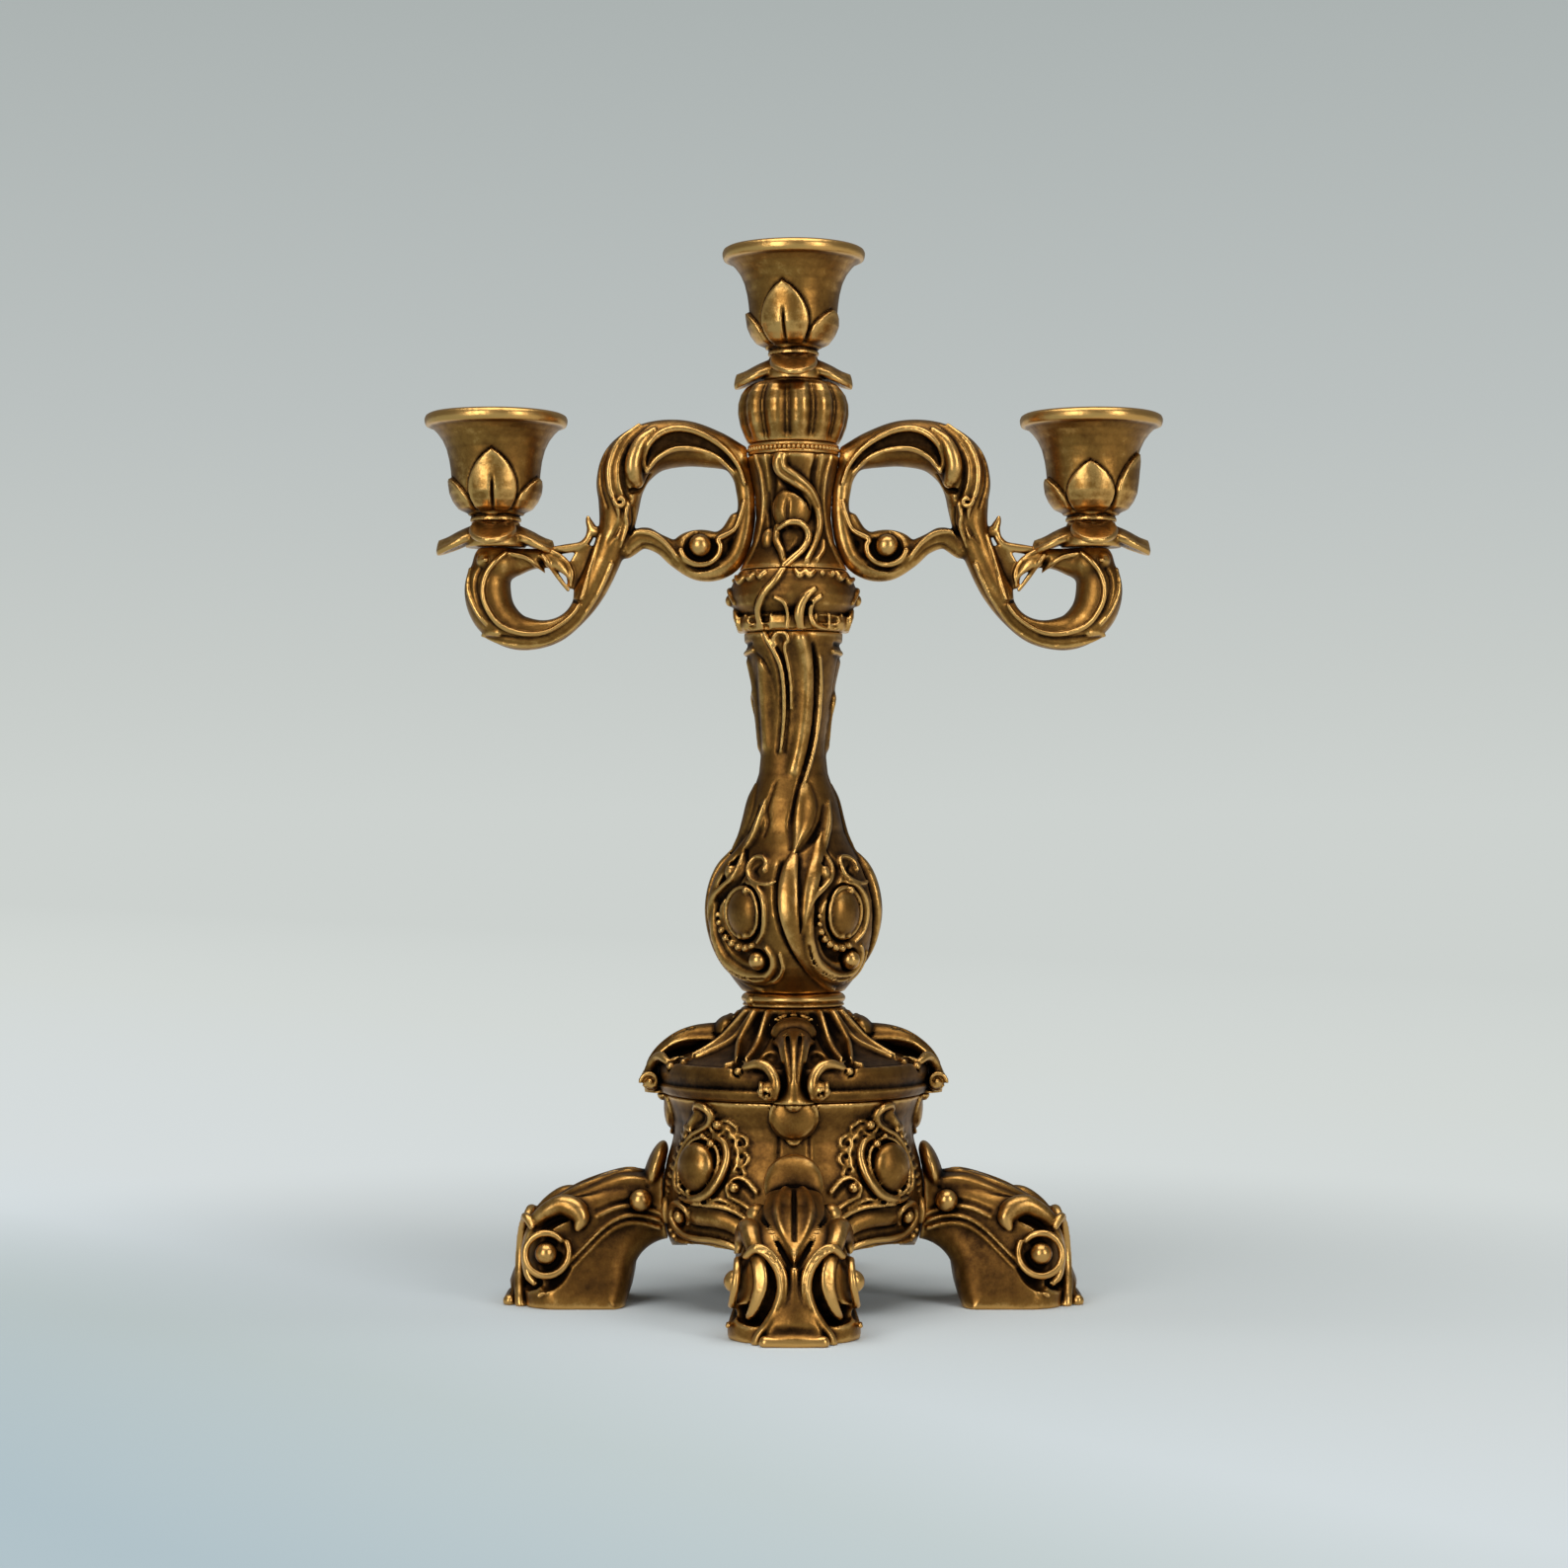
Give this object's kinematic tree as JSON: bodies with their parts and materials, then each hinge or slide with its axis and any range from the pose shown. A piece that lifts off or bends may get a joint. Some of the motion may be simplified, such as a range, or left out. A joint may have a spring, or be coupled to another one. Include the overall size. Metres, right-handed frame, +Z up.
{
  "type": "three-light table candelabrum",
  "caption": "Ornate cast table candelabrum: a drum on scroll feet, a baluster column that turns on its tie rod, scrolled branches and petalled candle cups that turn on their screws.",
  "frame": {"origin": "on the table, under the column's axis", "axes": "+Z up the column; the two side branches lie along X, the front foot points to -Y"},
  "size_m": [0.2668, 0.2086, 0.3799],
  "materials": {
    "patinated_brass": "antique cast brass, worn bright on the raised edges, dark brown patina in the recesses",
    "steel": "plain turned steel"
  },
  "bodies": {
    "base": {"drum": "patinated_brass", "lid": "patinated_brass", "collar": "patinated_brass", "foot_right": "patinated_brass", "foot_back": "patinated_brass", "foot_left": "patinated_brass", "foot_front": "patinated_brass", "foot_screw_right": "steel", "foot_screw_back": "steel", "foot_screw_left": "steel", "foot_screw_front": "steel"},
    "branches": {"column": "patinated_brass", "cap": "patinated_brass", "hub": "patinated_brass", "bead_ring": "patinated_brass", "knop": "patinated_brass", "drip_leaf_centre": "patinated_brass", "drip_leaf_right": "patinated_brass", "drip_leaf_left": "patinated_brass", "branch_right": "patinated_brass", "branch_left": "patinated_brass", "cup_screw_centre": "steel", "cup_screw_right": "steel", "cup_screw_left": "steel", "branch_stud_right": "steel", "branch_stud_left": "steel", "tie_rod": "steel", "rod_washer": "steel", "rod_nut": "steel"},
    "cup_centre": {"cup_centre": "patinated_brass"},
    "cup_right": {"cup_right": "patinated_brass"},
    "cup_left": {"cup_left": "patinated_brass"}
  },
  "joints": [
    {"name": "column_turn", "type": "hinge", "parent": "base", "child": "branches", "pos_m": [0, 0, 0.1116], "axis": [0, 0, 1], "continuous": true},
    {"name": "cup_centre_turn", "type": "hinge", "parent": "branches", "child": "cup_centre", "pos_m": [0, 0, 0.3409], "axis": [0, 0, 1], "continuous": true},
    {"name": "cup_right_turn", "type": "hinge", "parent": "branches", "child": "cup_right", "pos_m": [0.1075, 0, 0.2809], "axis": [0, 0, 1], "continuous": true},
    {"name": "cup_left_turn", "type": "hinge", "parent": "branches", "child": "cup_left", "pos_m": [-0.1075, 0, 0.2809], "axis": [0, 0, 1], "continuous": true}
  ]
}
